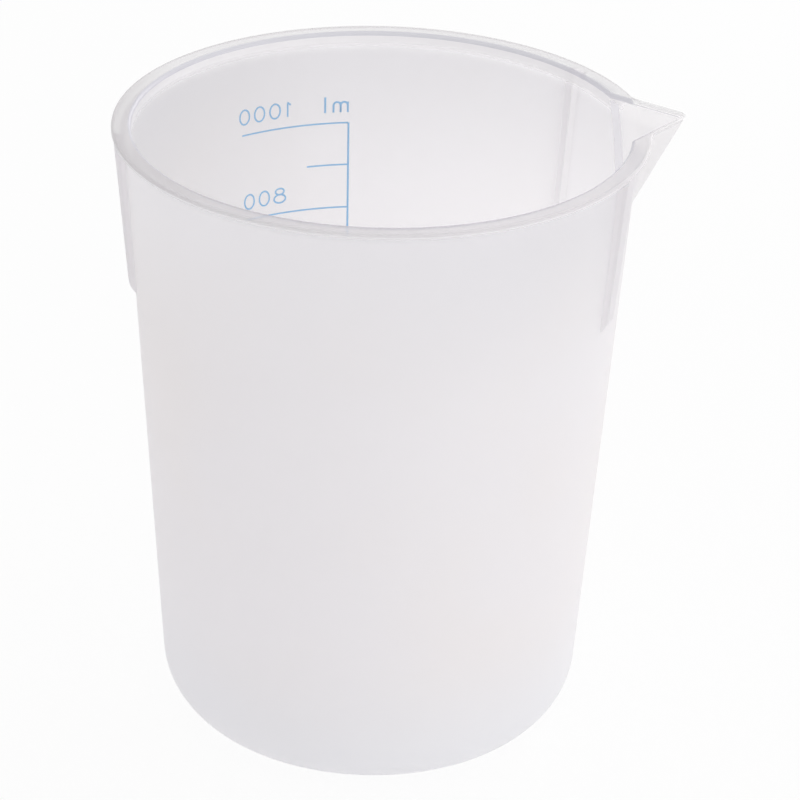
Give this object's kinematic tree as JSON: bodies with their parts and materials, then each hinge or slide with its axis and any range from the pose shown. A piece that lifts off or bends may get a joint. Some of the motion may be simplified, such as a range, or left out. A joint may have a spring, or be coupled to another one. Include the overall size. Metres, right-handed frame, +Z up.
{
  "type": "beaker",
  "caption": "Translucent moulded laboratory beaker with a V-shaped pouring spout, a flat rim, three short ribs under it and a printed volume scale.",
  "frame": {"origin": "on the beaker's axis, on the flat underside that it stands on", "axes": "+Z up along the beaker's axis, +X from the axis out through the spout's tip, +Y towards the printed scale"},
  "size_m": [0.131, 0.122, 0.1494],
  "materials": {
    "polypropylene": "natural translucent polypropylene, as moulded, with a soft satin surface",
    "ink": "light blue screen-printed ink"
  },
  "bodies": {
    "root": {"beaker_body": "polypropylene", "scale_stem": "ink", "graduation_100": "ink", "graduation_200": "ink", "graduation_300": "ink", "graduation_400": "ink", "graduation_500": "ink", "graduation_600": "ink", "graduation_700": "ink", "graduation_800": "ink", "graduation_900": "ink", "graduation_1000": "ink"}
  },
  "joints": []
}
